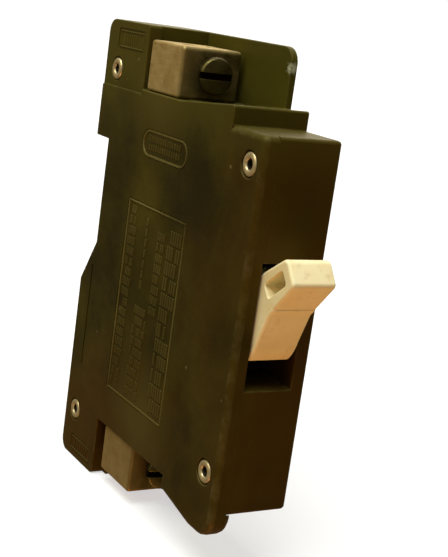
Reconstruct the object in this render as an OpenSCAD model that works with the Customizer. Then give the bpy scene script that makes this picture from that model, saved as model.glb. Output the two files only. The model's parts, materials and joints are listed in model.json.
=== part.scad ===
// Single-pole moulded-case circuit breaker: two riveted case halves, toggle
// mechanism, thermal-magnetic trip, arc chute and two box lugs. Millimetres.
// Drawing axes: X across the pole, Y from the front face to the back, Z up.
// placed() moves the drawing to the row's origin, the lower rear mounting pad.

/* [Case] */
// Width of one pole
case_w = 25.4; // [25.2:0.1:25.8]
// Depth from the front face to the rear mounting pads
case_d = 105.4; // [104:0.2:108]
// Thickness of the riveted cover
cover_t = 4.9; // [4.6:0.1:5.2]
// Outer wall thickness
wall = 2.3; // [2.2:0.1:2.5]
// Height of the front face
front_h = 108.8; // [108:0.2:110]
// Top of the case
top_z = 131.6; // [131:0.2:133]
// Bottom of the case
bottom_z = -21; // [-22:0.2:-20.5]
// Depth of the marking recesses in the cover
mark_depth = 0.3; // [0.2:0.05:0.4]

/* [Toggle] */
// Angle of the handle above horizontal when the breaker is on
handle_on = 38; // [36:1:38]
// Width of the handle
handle_w = 14.4; // [13.6:0.1:14.6]
// Reach of the handle tip from the pivot
handle_reach = 31.6; // [30:0.2:32]
// Radius of the curved shield that closes the window
shield_r = 14.2; // [13.8:0.1:14.4]
// Diameter of the toggle pin
toggle_pin_d = 3; // [2.6:0.1:3.2]

/* [Terminals] */
// Width of a box lug
lug_w = 20.2; // [19.6:0.1:20.4]
// Depth of a box lug
lug_d = 21.6; // [21.2:0.1:21.8]
// Height of a box lug
lug_h = 15.8; // [15.4:0.1:16]
// Diameter of the wire bore
wire_bore_d = 10.2; // [9.4:0.1:10.4]
// Diameter of the lug screw
screw_d = 7.8; // [7.4:0.1:7.8]
// Diameter of the screw head
screw_head_d = 11.4; // [10.8:0.1:11.6]
// Travel of the screw from open to clamped
screw_travel = 2.1; // [1.8:0.1:2.1]

/* [Mechanism] */
// Thickness of the copper straps
strap_t = 2; // [1.8:0.1:2.1]
// Width of the copper straps
strap_w = 10; // [9:0.2:10.2]
// Number of arc plates
arc_plate_count = 6; // [4:1:6]
// Distance from one arc plate to the next
arc_plate_pitch = 3.8; // [3.4:0.1:3.9]
// Turns of the main spring
main_spring_turns = 15; // [12:1:16]

/* [Hidden] */

$fn = 64;
eps = 0.01;
run_gap = 0.05;

half_w = case_w / 2;
split_x = -half_w + cover_t;
inner_far_x = half_w - wall;
inner_near_x = -half_w + wall;

// Row origin in drawing axes: centre of the lower rear pad
pad_z = 10;

// Case outline levels
step_y = 18.1;
step_top_z = 114.5;
side_wall_y = 27.8;
low_wall_y = 44;
sill_y = 50;
back_block_y = 77.5;
top_floor_z = 111.6;
low_floor_z = -1;
notch_y = 96;
notch_top_z = 92.4;
notch_low_z = 57;
pad_top_z = 42;

// Cover edges, its rounded lip below the front face and its recessed top block
cover_block_y = 76;
cover_low_block_y = 79;
cover_sill_z = 111.4;
cover_low_z = -0.8;
lip_low_z = -9.2;
lip_r = 7.5;
lip_flat_y = 13;
lip_back_y = 30.5;
lip_back_z = -5.8;
lip_x = -5.6;
top_block_z = 109.8;
top_block_recess = 0.4;

// Cavity
pocket_y = 16;
cavity_back_y = 93;
cavity_low_z = 2.2;
cavity_top_z = 106.4;

// Handle window
window_far_x = 8;
window_low_z = 36.7;
window_top_z = 73.7;

// Case rivets: [y, z] of each
rivets = [[96.2, 115.8], [6.8, 99.9], [98, -4.2], [7.4, 10.1]];
rivet_hole_r = 1.95;
rivet_bore_r = 1.6;
rivet_head_r = 3.45;
rivet_head_t = 0.9;
counterbore_r = 3.9;
counterbore_t = 1;

// Toggle pivot and spring hook, in drawing axes
toggle_y = 12;
toggle_z = 55.2;
shield_half_angle = 83;
hook_arm = 9;
handle_tilt = 180 - handle_on;

// Cradle pivot, arm pivot, spring anchor on the arm, latch tip
cradle_y = 26;
cradle_z = 34;
arm_y = 34;
arm_z = 58;
anchor_y = 54;
anchor_z = 63;
latch_y = 65.9;
latch_z = 40;

// Trip unit
armature_y = 66;
armature_t = 1.2;
armature_low_z = 18;
armature_top_z = 58;
bimetal_y = 76;
bimetal_t = 1.2;
calibration_z = 54;
armature_spring_z = 24;
spring_post_y = 47;

// Contacts
contact_y = 78;
contact_z = 72;
contact_r = 2.5;
contact_t = 2;
contact_gap = 0.04;

// Arc chute
arc_low_z = 80;
arc_front_y = 72;
arc_back_y = 89;

// Lugs
lug_x = -1.6;
lug_front_y = 53;
lug_bore_y = 64.8;
strap_y = 70.5;
thread_r = screw_d / 2 + run_gap;
saddle_r = 3.4;
saddle_t = 1.9;

// ---------------------------------------------------------------- helpers

module placed() {
    translate([0, -case_d, -pad_z]) children();
}

// Extrudes a (y, z) outline from x0 to x1
module slab(x0, x1) {
    translate([x0, 0, 0]) rotate([90, 0, 90]) linear_extrude(x1 - x0) children();
}

module rod_x(y, z, r, x0, x1) {
    translate([x0, y, z]) rotate([0, 90, 0]) cylinder(r = r, h = x1 - x0);
}

module rod_y(x, z, r, y0, y1) {
    translate([x, y0, z]) rotate([-90, 0, 0]) cylinder(r = r, h = y1 - y0);
}

module block(x0, x1, y0, y1, z0, z1) {
    translate([x0, y0, z0]) cube([x1 - x0, y1 - y0, z1 - z0]);
}

function unit(v) = v / norm(v);

// Points of the arc that rounds corner q, between neighbours p and s
function corner_arc(p, q, s, r, steps = 6) =
    let (u = unit(p - q), w = unit(s - q),
         half = acos(u * w) / 2,
         reach = r / tan(half),
         centre = q + unit(u + w) * r / sin(half),
         from = q + u * reach - centre,
         to = q + w * reach - centre,
         a0 = atan2(from[1], from[0]),
         turn = atan2(from[0] * to[1] - from[1] * to[0], from * to))
    [for (i = [0:steps]) centre + r * [cos(a0 + turn * i / steps), sin(a0 + turn * i / steps)]];

// Outline from [y, z, corner radius] entries
module rounded_outline(corners) {
    n = len(corners);
    xy = [for (c = corners) [c[0], c[1]]];
    polygon([for (i = [0:n - 1])
        each corners[i][2] == 0 ? [xy[i]]
            : corner_arc(xy[(i + n - 1) % n], xy[i], xy[(i + 1) % n], corners[i][2])]);
}

// A round wire swept along points in space
module wire(points, r, sides = 6) {
    n = len(points);
    rings = [for (i = [0:n - 1])
        let (a = points[max(i - 1, 0)], b = points[min(i + 1, n - 1)],
             t = unit(b - a),
             ref = abs(t[0]) > 0.9 ? [0, 0, 1] : [1, 0, 0],
             e = unit(cross(t, ref)), f = cross(t, e))
        [for (k = [0:sides - 1])
            points[i] + r * (cos(360 * k / sides) * e + sin(360 * k / sides) * f)]];
    faces = concat(
        [[for (k = [0:sides - 1]) sides - 1 - k]],
        [for (i = [0:n - 2], k = [0:sides - 1])
            let (a = i * sides + k, b = i * sides + (k + 1) % sides)
            each [[a, b, b + sides], [a, b + sides, a + sides]]],
        [[for (k = [0:sides - 1]) (n - 1) * sides + k]]);
    polyhedron([for (ring = rings) each ring], [for (f = faces) [for (k = [len(f) - 1:-1:0]) f[k]]]);
}

// Points of a coil of radius r from p to q, in the plane of y and z
function coil_points(p, q, r, turns, per_turn = 10) =
    let (t = unit(q - p), e = [1, 0, 0], f = cross(t, e))
    [for (i = [0:turns * per_turn])
        p + (q - p) * i / (turns * per_turn)
          + r * (cos(360 * i / per_turn) * e + sin(360 * i / per_turn) * f)];

// Draws (u, v) shapes with u out along the handle and v across it, upwards
module handle_plane() {
    translate([toggle_y, toggle_z]) rotate(handle_tilt) mirror([0, 1]) children();
}

// ---------------------------------------------------------------- case

// Height of the sill that slopes down from the front block to the top lug
function sill_z(y) =
    step_top_z - (step_top_z - top_floor_z) * (y - step_y) / (sill_y - step_y);

// Back edge of both case halves: lower pad, rail notch and upper pad
back_edge = [
    [case_d, bottom_z, 4], [case_d, pad_top_z, 0], [notch_y, notch_low_z, 0],
    [notch_y, notch_top_z, 0], [case_d, notch_top_z, 0], [case_d, top_z, 4]];

// Housing between the split and the far wall, with a terminal bay at each end
module body_outline() {
    rounded_outline(concat(
        [[0, low_floor_z, 1.2], [back_block_y, low_floor_z, 0], [back_block_y, bottom_z, 0]],
        back_edge,
        [[back_block_y, top_z, 0], [back_block_y, top_floor_z, 0], [sill_y, top_floor_z, 0],
         [step_y, step_top_z, 0.8], [step_y, front_h, 0], [0, front_h, 1.2]]));
}

// Far wall, which shields the terminals from the next pole
module far_wall_outline() {
    rounded_outline(concat(
        [[0, low_floor_z, 1.2], [low_wall_y, low_floor_z, 0], [low_wall_y, bottom_z, 4]],
        back_edge,
        [[side_wall_y, top_z, 5], [side_wall_y, sill_z(side_wall_y), 0],
         [step_y, step_top_z, 0.8], [step_y, front_h, 0], [0, front_h, 1.2]]));
}

module cover_outline() {
    rounded_outline(concat(
        [[0, lip_low_z, lip_r], [lip_flat_y, lip_low_z, 0], [lip_back_y, lip_back_z, 0],
         [lip_back_y, cover_low_z, 0], [cover_low_block_y, cover_low_z, 0],
         [cover_low_block_y, bottom_z, 2]],
        back_edge,
        [[cover_block_y, top_z, 1], [cover_block_y, cover_sill_z, 0], [sill_y, cover_sill_z, 0],
         [step_y, step_top_z, 0.8], [step_y, front_h, 0], [0, front_h, 2]]));
}

// The lip's thicker part, which hooks under the housing
module lip_outline() {
    rounded_outline([
        [0, lip_low_z, lip_r], [lip_flat_y, lip_low_z, 0], [lip_back_y, lip_back_z, 0],
        [lip_back_y, low_floor_z - 2 * eps, 0], [0, low_floor_z - 2 * eps, 0]]);
}

// Inner cavity: the deep part behind the toggle pocket
module main_cavity_outline() {
    polygon([
        [pocket_y, cavity_low_z], [cavity_back_y, cavity_low_z],
        [cavity_back_y, cavity_top_z], [pocket_y, cavity_top_z]]);
}

module rivet_holes(r, x0, x1) {
    for (p = rivets) rod_x(p[0], p[1], r, x0, x1);
}

// Bosses inside the housing that carry the pins and the yoke
module housing_bosses() {
    rod_x(cradle_y, cradle_z, 4, 6.4, inner_far_x + eps);
    rod_x(armature_y + armature_t / 2, armature_low_z, 3, 6.8, inner_far_x + eps);
    rod_x(spring_post_y, armature_spring_z, 1.5, -2, inner_far_x + eps);
    block(8, inner_far_x + eps, 72, 82, 28, 42);
}

module housing() {
    color([0.10, 0.09, 0.06]) placed() difference() {
        union() {
            difference() {
                union() {
                    slab(split_x, inner_far_x + eps) body_outline();
                    slab(inner_far_x, half_w) far_wall_outline();
                }
                slab(split_x - eps, inner_far_x) main_cavity_outline();
                // handle window and the pocket that holds the toggle
                block(split_x - eps, window_far_x, -1, pocket_y + eps,
                      window_low_z, window_top_z);
            }
            housing_bosses();
        }
        // strap slots through the terminal floors
        for (z0 = [cavity_top_z - 1, low_floor_z - 1])
            block(-strap_w / 2 - 0.2, strap_w / 2 + 0.2, strap_y - 0.2,
                  strap_y + strap_t + 0.2, z0, z0 + 7);
        rivet_holes(rivet_hole_r, split_x - 1, half_w + 1);
        rivet_holes(counterbore_r, half_w - counterbore_t, half_w + 1);
        // pin sockets in the far wall
        rod_x(toggle_y, toggle_z, toggle_pin_d / 2, 0, inner_far_x);
        rod_x(cradle_y, cradle_z, 1.5, 0, inner_far_x);
        rod_x(armature_y + armature_t / 2, armature_low_z, 1, 0, inner_far_x);
    }
}

module mark_recess(y0, y1, z0, z1, r, depth = mark_depth) {
    slab(-half_w - 1, -half_w + depth)
        rounded_outline([[y0, z0, r], [y1, z0, r], [y1, z1, r], [y0, z1, r]]);
}

module cover() {
    color([0.12, 0.11, 0.07]) placed() difference() {
        union() {
            slab(-half_w, split_x) cover_outline();
            slab(split_x - eps, lip_x) lip_outline();
        }
        // shallow inner recess over the mechanism
        difference() {
            slab(inner_near_x, split_x + 1) polygon([
                [pocket_y + 1, cavity_low_z], [cavity_back_y, cavity_low_z],
                [cavity_back_y, cavity_top_z], [pocket_y + 1, cavity_top_z]]);
            rod_x(cradle_y, cradle_z, 4, inner_near_x - 1, -6.4);
            rod_x(armature_y + armature_t / 2, armature_low_z, 3, inner_near_x - 1, -6.8);
        }
        rivet_holes(rivet_hole_r, -half_w - 1, split_x + 1);
        rivet_holes(counterbore_r, -half_w - 1, -half_w + counterbore_t);
        rod_x(toggle_y, toggle_z, toggle_pin_d / 2, inner_near_x, split_x + 1);
        rod_x(cradle_y, cradle_z, 1.5, inner_near_x, split_x + 1);
        rod_x(armature_y + armature_t / 2, armature_low_z, 1, inner_near_x, split_x + 1);
        block(-half_w - 1, -half_w + top_block_recess, cover_block_y - 1, case_d + 1,
              top_block_z, top_z + 1);
        // marking recesses: nameplate, pill, the two terminal marks and a thin groove
        mark_recess(36, 75.5, 12, 77, 0.8);
        mark_recess(41, 71, 91.3, 100.3, 4.4);
        mark_recess(78.6, 97.5, 122.3, 129.2, 0.8, top_block_recess + mark_depth);
        mark_recess(82, 98, -19, -13, 0.8);
        mark_recess(96.2, 97, 13, 49, 0.3);
    }
}

// One eyelet: a tube with a rolled head at each side face
module eyelet(y, z) {
    translate([0, y, z]) rotate([0, 90, 0]) rotate_extrude() polygon([
        [rivet_bore_r, -half_w + 0.3], [rivet_bore_r + 0.4, -half_w],
        [rivet_head_r - 0.5, -half_w], [rivet_head_r, -half_w + 0.4],
        [rivet_head_r, -half_w + rivet_head_t], [rivet_hole_r - 0.02, -half_w + rivet_head_t],
        [rivet_hole_r - 0.02, half_w - rivet_head_t], [rivet_head_r, half_w - rivet_head_t],
        [rivet_head_r, half_w - 0.4], [rivet_head_r - 0.5, half_w],
        [rivet_bore_r + 0.4, half_w], [rivet_bore_r, half_w - 0.3]]);
}

module case_rivets() {
    color([0.72, 0.66, 0.52]) placed() for (p = rivets) eyelet(p[0], p[1]);
}

// ---------------------------------------------------------------- toggle

module handle_outline() {
    rounded_outline([
        [9, -7.7, 0], [20, -6.2, 0], [20, -5.95, 0], [handle_reach - 0.3, -3.9, 1.4],
        [handle_reach, 4.5, 2.2], [20.6, 5.4, 3], [9, 5.9, 0]]);
}

module shield_outline() {
    difference() {
        circle(r = shield_r);
        polygon([
            [0, 0], [30 * cos(shield_half_angle), 30 * sin(shield_half_angle)],
            [-30, 30], [-30, -30],
            [30 * cos(shield_half_angle), -30 * sin(shield_half_angle)]]);
    }
}

// Web that runs the underside of the handle into the shield
module underside_outline() {
    polygon([[17, -6.6], [11, -6.6], [shield_r * cos(54), -shield_r * sin(54)]]);
}

// Slot through the handle that takes a handle tie
module tie_slot_outline() {
    rounded_outline([[18.6, -2.2, 0.9], [28.1, -2.2, 0.9], [28.1, 2.3, 0.9], [18.6, 2.3, 0.9]]);
}

module toggle() {
    half = handle_w / 2;
    color([0.90, 0.84, 0.66]) placed() difference() {
        union() {
            slab(-half, half) handle_plane() difference() {
                union() {
                    handle_outline();
                    shield_outline();
                    underside_outline();
                    circle(r = 4.6);
                }
                tie_slot_outline();
            }
            // fork legs that hook the main spring
            for (x0 = [-6.9, 4])
                slab(x0, x0 + 2.9) handle_plane() translate([-hook_arm - 2.6, -2.6])
                    square([hook_arm + 2.6, 5.2]);
        }
        rod_x(toggle_y, toggle_z, toggle_pin_d / 2 + run_gap, -half - 1, half + 1);
        slab(-8, 8) handle_plane() translate([-hook_arm, 0]) circle(r = 1);
    }
}

module toggle_pin() {
    color("silver") placed() rod_x(toggle_y, toggle_z, toggle_pin_d / 2, inner_near_x, inner_far_x);
}

module toggle_spring_pin() {
    color("silver") placed() slab(-6.9, 6.9) handle_plane() translate([-hook_arm, 0]) circle(r = 1);
}

// ---------------------------------------------------------------- terminals

// Mirrors the top terminal's shapes to the bottom of the case
module at_bottom() {
    translate([0, 0, top_floor_z + low_floor_z]) mirror([0, 0, 1]) children();
}

module box_lug() {
    z0 = top_floor_z;
    z1 = z0 + lug_h;
    zc = z0 + lug_h / 2;
    difference() {
        slab(lug_x - lug_w / 2, lug_x + lug_w / 2) rounded_outline([
            [lug_front_y, z0, 1], [lug_front_y + lug_d, z0, 1],
            [lug_front_y + lug_d, z1, 1], [lug_front_y, z1, 1.4]]);
        translate([lug_x, lug_bore_y, z0 - 1]) cylinder(r = wire_bore_d / 2, h = lug_h + 2);
        rod_y(lug_x, zc, thread_r, lug_front_y - 1, lug_bore_y);
        block(-strap_w / 2 - 0.1, strap_w / 2 + 0.1, strap_y, strap_y + strap_t + 0.05,
              z0 - 1, z1 - 1.4);
    }
}

module lug_screw() {
    zc = top_floor_z + lug_h / 2;
    head_back = lug_front_y - screw_travel - 0.2;
    tip_y = lug_bore_y - wire_bore_d / 2 - saddle_t - 0.1;
    difference() {
        union() {
            translate([lug_x, head_back, zc]) rotate([90, 0, 0]) rotate_extrude() polygon([
                [0, 0], [screw_head_d / 2, 0], [screw_head_d / 2, 1.6],
                [screw_head_d / 2 - 0.9, 2.5], [0, 2.7]]);
            rod_y(lug_x, zc, screw_d / 2, head_back - eps, tip_y);
        }
        block(lug_x - 8, lug_x + 8, head_back - 4, head_back - 1.1, zc - 1, zc + 1);
        // socket for the saddle's stub
        rod_y(lug_x, zc, 1.6, tip_y - 2, tip_y + 1);
    }
}

module wire_saddle() {
    zc = top_floor_z + lug_h / 2;
    saddle_y = lug_bore_y - wire_bore_d / 2 - saddle_t;
    rod_y(lug_x, zc, saddle_r, saddle_y, saddle_y + saddle_t);
    rod_y(lug_x, zc, 1.6 - run_gap, saddle_y - 1.8, saddle_y + eps);
}

module line_lug() {
    color([0.70, 0.60, 0.42]) placed() box_lug();
}

module line_lug_screw() {
    color([0.30, 0.28, 0.20]) placed() lug_screw();
}

module line_wire_saddle() {
    color("silver") placed() wire_saddle();
}

module load_lug() {
    color([0.70, 0.60, 0.42]) placed() at_bottom() box_lug();
}

module load_lug_screw() {
    color([0.30, 0.28, 0.20]) placed() at_bottom() lug_screw();
}

module load_wire_saddle() {
    color("silver") placed() at_bottom() wire_saddle();
}

// From the line lug down behind the arc chute to the fixed contact
module line_strap() {
    y0 = strap_y;
    yb = 92.6;
    color([0.72, 0.45, 0.25]) placed() slab(-strap_w / 2, strap_w / 2) polygon([
        [y0, 125.5], [y0 + strap_t, 125.5], [y0 + strap_t, 104.4], [yb, 104.4],
        [yb, 68], [73, 68], [73, 68 + strap_t], [yb - strap_t, 68 + strap_t],
        [yb - strap_t, 104.4 - strap_t], [y0, 104.4 - strap_t]]);
}

// From the load lug up to the foot of the bimetal
module load_strap() {
    y0 = strap_y;
    color([0.72, 0.45, 0.25]) placed() slab(-strap_w / 2, strap_w / 2) polygon([
        [y0, -15], [y0 + strap_t, -15], [y0 + strap_t, 3.5], [bimetal_y, 3.5],
        [bimetal_y, 16], [bimetal_y - strap_t, 16], [bimetal_y - strap_t, 3.5 + strap_t],
        [y0, 3.5 + strap_t]]);
}

// ---------------------------------------------------------------- contacts

module fixed_contact() {
    color([0.85, 0.85, 0.88]) placed() translate([0, contact_y, contact_z - contact_t])
        cylinder(r = contact_r, h = contact_t);
}

module moving_contact() {
    color([0.85, 0.85, 0.88]) placed() translate([0, contact_y, contact_z + contact_gap])
        cylinder(r = contact_r, h = contact_t);
}

module arm_cheek_outline() {
    polygon([
        [31, 58.6], [32.2, 55.2], [36, 54.9], [58, 62.8], [71, 73.4], [82, 74.04],
        [82, 77.4], [68, 77], [54, 67.6], [35, 61.2], [32, 60.6]]);
}

module contact_arm() {
    nose_low = contact_z + contact_gap + contact_t;
    color([0.75, 0.48, 0.28]) placed() difference() {
        union() {
            for (x0 = [-4, 2.6]) slab(x0, x0 + 1.4) arm_cheek_outline();
            block(-4, 4, 72, 82, nose_low, 77.4);
            block(-4, 4, 58.5, 62, 63.6, 65.2);
        }
        rod_x(arm_y, arm_z, 1.2, -5, 5);
        rod_x(anchor_y, anchor_z + 1, 1, -5, 5);
    }
}

// Two trunnions, one on each cheek of the arm
module arm_pivot_pins() {
    color("silver") placed() for (x0 = [-5.5, 2.6]) rod_x(arm_y, arm_z, 1.2, x0, x0 + 2.9);
}

module arm_spring_pin() {
    color("silver") placed() rod_x(anchor_y, anchor_z + 1, 1, -4, 4);
}

module main_spring() {
    hook = [0, toggle_y + hook_arm * cos(handle_on), toggle_z - hook_arm * sin(handle_on)];
    anchor = [0, anchor_y, anchor_z + 1];
    along = unit(anchor - hook);
    color("silver") placed()
        wire(coil_points(hook + 1.6 * along, anchor - 1.6 * along, 1.9, main_spring_turns), 0.32);
}

// Tripped by releasing its tip; it carries the arm's trunnions
module cradle_plate_outline() {
    polygon([
        [22.6, 32.6], [24, 30.6], [28, 30.6], [62, 38], [latch_y, 38.8], [latch_y, 41.2],
        [58, 42], [40, 49], [37, 60], [34, 61.2], [31, 59.6]]);
}

module cradle() {
    color([0.62, 0.62, 0.60]) placed() difference() {
        union() {
            for (x0 = [-5.5, 4.3]) slab(x0, x0 + 1.2) cradle_plate_outline();
            block(-5.5, 5.5, 62, latch_y, 38.8, 41.2);
            rod_x(cradle_y, cradle_z, 2.6, -5.5, 5.5);
        }
        rod_x(cradle_y, cradle_z, 1.5 + run_gap, -6, 6);
        rod_x(arm_y, arm_z, 1.2 + run_gap, -6, 6);
    }
}

module cradle_pin() {
    color("silver") placed() rod_x(cradle_y, cradle_z, 1.5, inner_near_x, inner_far_x);
}

// ---------------------------------------------------------------- trip unit

module bimetal() {
    color([0.66, 0.60, 0.48]) placed() difference() {
        block(-4.5, 4.5, bimetal_y, bimetal_y + bimetal_t, 6, 60);
        rod_y(0, calibration_z, 1.2, bimetal_y - 1, bimetal_y + bimetal_t + 1);
    }
}

module magnet_yoke() {
    color([0.45, 0.45, 0.45]) placed() union() {
        block(-8, 8, 80.4, 82, 28, 42);
        for (x0 = [-8, 6.2]) block(x0, x0 + 1.8, 71, 82, 28, 42);
    }
}

module armature() {
    hinge_y = armature_y + armature_t / 2;
    color([0.50, 0.50, 0.50]) placed() difference() {
        union() {
            block(-6, 6, armature_y, armature_y + armature_t, armature_low_z, armature_top_z);
            rod_x(hinge_y, armature_low_z, 2.2, -6, 6);
        }
        rod_x(hinge_y, armature_low_z, 1 + run_gap, -7, 7);
        rod_y(0, calibration_z, 2.2, armature_y - 1, armature_y + armature_t + 1);
    }
}

module armature_pin() {
    color("silver") placed()
        rod_x(armature_y + armature_t / 2, armature_low_z, 1, inner_near_x, inner_far_x);
}

module armature_spring() {
    color("silver") placed() wire(coil_points([0, spring_post_y + 1.9, armature_spring_z],
        [0, armature_y - 0.5, armature_spring_z], 1.5, 12), 0.25);
}

// Its head pulls the armature when the bimetal bends back
module calibration_screw() {
    color([0.75, 0.65, 0.35]) placed() difference() {
        union() {
            rod_y(0, calibration_z, 2.5, armature_y - 2.2, armature_y - 0.1);
            rod_y(0, calibration_z, 1.2, armature_y - 0.5, bimetal_y + bimetal_t + 1);
        }
        block(-3, 3, armature_y - 3, armature_y - 1.4, calibration_z - 0.4, calibration_z + 0.4);
    }
}

// Flexible copper braid from the bimetal's free end to the arm's web
braid_route = [
    [0, 78.3, 56.3], [0, 78.3, 58.2], [0, 78.35, 60.2], [0, 77.6, 62], [0, 76, 63.4],
    [0, 73.5, 64.2], [0, 71, 64.2], [0, 68, 63.4], [0, 65, 62.2], [0, 62, 61.9], [0, 60.2, 62.5]];

module braid() {
    color([0.75, 0.45, 0.25]) placed() wire(braid_route, 1, 8);
}

// ---------------------------------------------------------------- arc chute

module arc_wall(x0) {
    block(x0, x0 + 1, arc_front_y - 1, arc_back_y + 0.5, arc_low_z - 3, arc_low_z + 21.6);
}

module arc_wall_left() {
    color([0.55, 0.35, 0.22]) placed() arc_wall(-9.7);
}

module arc_wall_right() {
    color([0.55, 0.35, 0.22]) placed() arc_wall(8.7);
}

module arc_plates() {
    color([0.58, 0.58, 0.56]) placed() for (i = [0:arc_plate_count - 1])
        translate([0, 0, arc_low_z + i * arc_plate_pitch]) linear_extrude(1.2) difference() {
            translate([-8.7, arc_front_y]) square([17.4, arc_back_y - arc_front_y]);
            polygon([
                [-5, arc_front_y - 1], [5, arc_front_y - 1], [5, arc_back_y - 8],
                [2, arc_back_y - 5], [-2, arc_back_y - 5], [-5, arc_back_y - 8]]);
        }
}

// ---------------------------------------------------------------- nodes

housing();
cover();
case_rivets();
toggle();
toggle_pin();
toggle_spring_pin();
line_lug();
line_lug_screw();
line_wire_saddle();
line_strap();
fixed_contact();
load_lug();
load_lug_screw();
load_wire_saddle();
load_strap();
contact_arm();
moving_contact();
arm_pivot_pins();
arm_spring_pin();
main_spring();
cradle();
cradle_pin();
bimetal();
magnet_yoke();
armature();
armature_pin();
armature_spring();
calibration_screw();
braid();
arc_wall_left();
arc_wall_right();
arc_plates();
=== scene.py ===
"""Single-pole circuit breaker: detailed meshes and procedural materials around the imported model."""
import json
import math
import random

import bmesh
import bpy
from mathutils import Matrix, Vector


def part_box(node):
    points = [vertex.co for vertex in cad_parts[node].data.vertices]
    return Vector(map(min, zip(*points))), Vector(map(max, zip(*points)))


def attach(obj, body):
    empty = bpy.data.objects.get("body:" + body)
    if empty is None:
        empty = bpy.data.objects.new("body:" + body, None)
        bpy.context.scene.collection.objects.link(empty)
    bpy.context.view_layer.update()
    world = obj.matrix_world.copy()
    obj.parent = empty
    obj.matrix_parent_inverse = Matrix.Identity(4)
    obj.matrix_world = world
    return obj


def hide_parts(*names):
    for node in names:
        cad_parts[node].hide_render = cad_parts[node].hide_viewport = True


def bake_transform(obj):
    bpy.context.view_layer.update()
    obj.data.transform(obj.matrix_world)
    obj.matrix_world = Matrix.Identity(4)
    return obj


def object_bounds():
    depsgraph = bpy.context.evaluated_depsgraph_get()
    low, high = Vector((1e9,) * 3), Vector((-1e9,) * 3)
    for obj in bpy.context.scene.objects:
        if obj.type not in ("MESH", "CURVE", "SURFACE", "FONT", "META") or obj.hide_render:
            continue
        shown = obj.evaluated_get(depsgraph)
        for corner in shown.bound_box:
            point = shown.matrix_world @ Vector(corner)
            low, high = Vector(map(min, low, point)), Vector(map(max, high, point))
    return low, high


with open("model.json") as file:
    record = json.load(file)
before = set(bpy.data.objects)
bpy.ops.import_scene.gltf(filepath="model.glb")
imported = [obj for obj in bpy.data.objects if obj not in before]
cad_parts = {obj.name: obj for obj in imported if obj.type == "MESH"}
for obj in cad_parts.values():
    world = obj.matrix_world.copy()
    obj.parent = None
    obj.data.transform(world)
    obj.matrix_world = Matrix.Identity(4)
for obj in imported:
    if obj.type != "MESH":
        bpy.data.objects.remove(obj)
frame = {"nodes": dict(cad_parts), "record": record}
nodes = frame["nodes"]
cad_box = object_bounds()

MM = 0.001
# How near two places are taken as one, in millimetres
TOUCH = 0.01

# The drawing's axes in millimetres: X across, Y from the front face to the back, Z up from the
# front face's bottom edge. The row's origin is the lower rear pad.
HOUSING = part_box("housing")
CASE_DEPTH = -HOUSING[0].y / MM
PAD_Z = 10.0
HALF_WIDTH = HOUSING[1].x / MM


def row(x, y, z):
    """A point of the drawing, in metres in the row's frame."""
    return Vector((x, y - CASE_DEPTH, z - PAD_Z)) * MM


def drawing(point):
    """A point of the row's frame, in the drawing's millimetres."""
    return Vector((point.x / MM, point.y / MM + CASE_DEPTH, point.z / MM + PAD_Z))


# ------------------------------------------------------------------ camera

CAMERA_AZIMUTH = -31.88
CAMERA_ELEVATION = 12.70
CAMERA_ROLL = 8.08
CAMERA_DISTANCE = 0.3569
CAMERA_TARGET = row(0, 31.4, 61.3)
CAMERA_LENS = 76.72
SENSOR = 36.0


def make_camera():
    azimuth, elevation, roll = map(math.radians, (CAMERA_AZIMUTH, CAMERA_ELEVATION, CAMERA_ROLL))
    back = Vector((
        math.sin(azimuth) * math.cos(elevation),
        -math.cos(azimuth) * math.cos(elevation),
        math.sin(elevation),
    ))
    level = Vector((math.cos(azimuth), math.sin(azimuth), 0))
    up = back.cross(level)
    right = math.cos(roll) * level + math.sin(roll) * up
    top = math.cos(roll) * up - math.sin(roll) * level
    camera = bpy.data.objects.new("camera", bpy.data.cameras.new("camera"))
    bpy.context.scene.collection.objects.link(camera)
    camera.matrix_world = Matrix((
        (right.x, top.x, back.x, 0),
        (right.y, top.y, back.y, 0),
        (right.z, top.z, back.z, 0),
        (0, 0, 0, 1),
    ))
    camera.location = CAMERA_TARGET + back * CAMERA_DISTANCE
    camera.data.sensor_width = SENSOR
    camera.data.lens = CAMERA_LENS
    camera.data.clip_start = 0.01
    camera.data.clip_end = 50
    bpy.context.scene.camera = camera


make_camera()


# ------------------------------------------------------------------ node helpers

SHADER_INPUTS = {
    "metallic": "Metallic",
    "specular": "Specular IOR Level",
    "specular_tint": "Specular Tint",
    "subsurface": "Subsurface Weight",
    "subsurface_scale": "Subsurface Scale",
    "subsurface_radius": "Subsurface Radius",
    "emission_colour": "Emission Color",
    "emission": "Emission Strength",
}


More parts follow.
